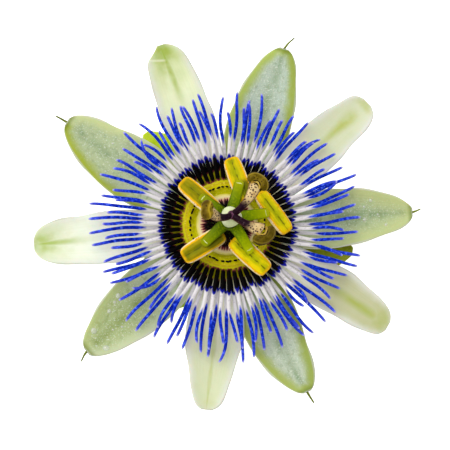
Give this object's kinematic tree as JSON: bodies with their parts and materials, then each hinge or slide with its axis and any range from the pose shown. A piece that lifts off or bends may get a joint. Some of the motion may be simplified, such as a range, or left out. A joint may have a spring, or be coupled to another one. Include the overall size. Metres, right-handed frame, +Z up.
{
  "type": "passion flower",
  "caption": "Open passion flower lying face up on its bracts: pale sepals and petals, banded blue corona, green stamens and dark styles over a short cut stalk.",
  "frame": {"origin": "on the surface that the flower lies on, below its column, at the middle of its outline", "axes": "+Z up along the flower's column, away from the surface; +X towards the sepal on the right of the picture"},
  "size_m": [0.0908, 0.0882, 0.0334],
  "materials": {
    "stalk": "smooth fresh green stalk with a pale cut end",
    "bract": "satin bright yellow-green leaf with fine veins",
    "cup": "satin pale green flesh",
    "sepal": "satin grey-green middle with a yellow-green margin",
    "petal": "satin creamy white with a green midrib",
    "corona": "matte, purple-black at the root, then white, then violet-blue to the tip",
    "throat": "satin yellow-green with near-black knobs",
    "operculum": "cream ring with a dark purple fringe",
    "column": "smooth green flecked with purple",
    "strap": "satin fresh green",
    "anther": "olive-yellow back with orange-yellow pollen along the edges",
    "ovary": "smooth pale green",
    "style": "dark purple, cream with purple spots towards the end",
    "stigma": "velvety olive brown"
  },
  "bodies": {
    "root": {"stalk": "stalk", "bract_1": "bract", "bract_2": "bract", "bract_3": "bract", "flower_cup": "cup", "sepal_1": "sepal", "sepal_2": "sepal", "sepal_3": "sepal", "sepal_4": "sepal", "sepal_5": "sepal", "petal_1": "petal", "petal_2": "petal", "petal_3": "petal", "petal_4": "petal", "petal_5": "petal", "corona_lower_row": "corona", "corona_upper_row": "corona", "throat_ring": "throat", "operculum": "operculum", "column": "column", "stamen_strap_1": "strap", "stamen_strap_2": "strap", "stamen_strap_3": "strap", "stamen_strap_4": "strap", "stamen_strap_5": "strap", "anther_1": "anther", "anther_2": "anther", "anther_3": "anther", "anther_4": "anther", "anther_5": "anther", "ovary": "ovary", "style_1": "style", "style_2": "style", "style_3": "style", "stigma_1": "stigma", "stigma_2": "stigma", "stigma_3": "stigma"}
  },
  "joints": []
}
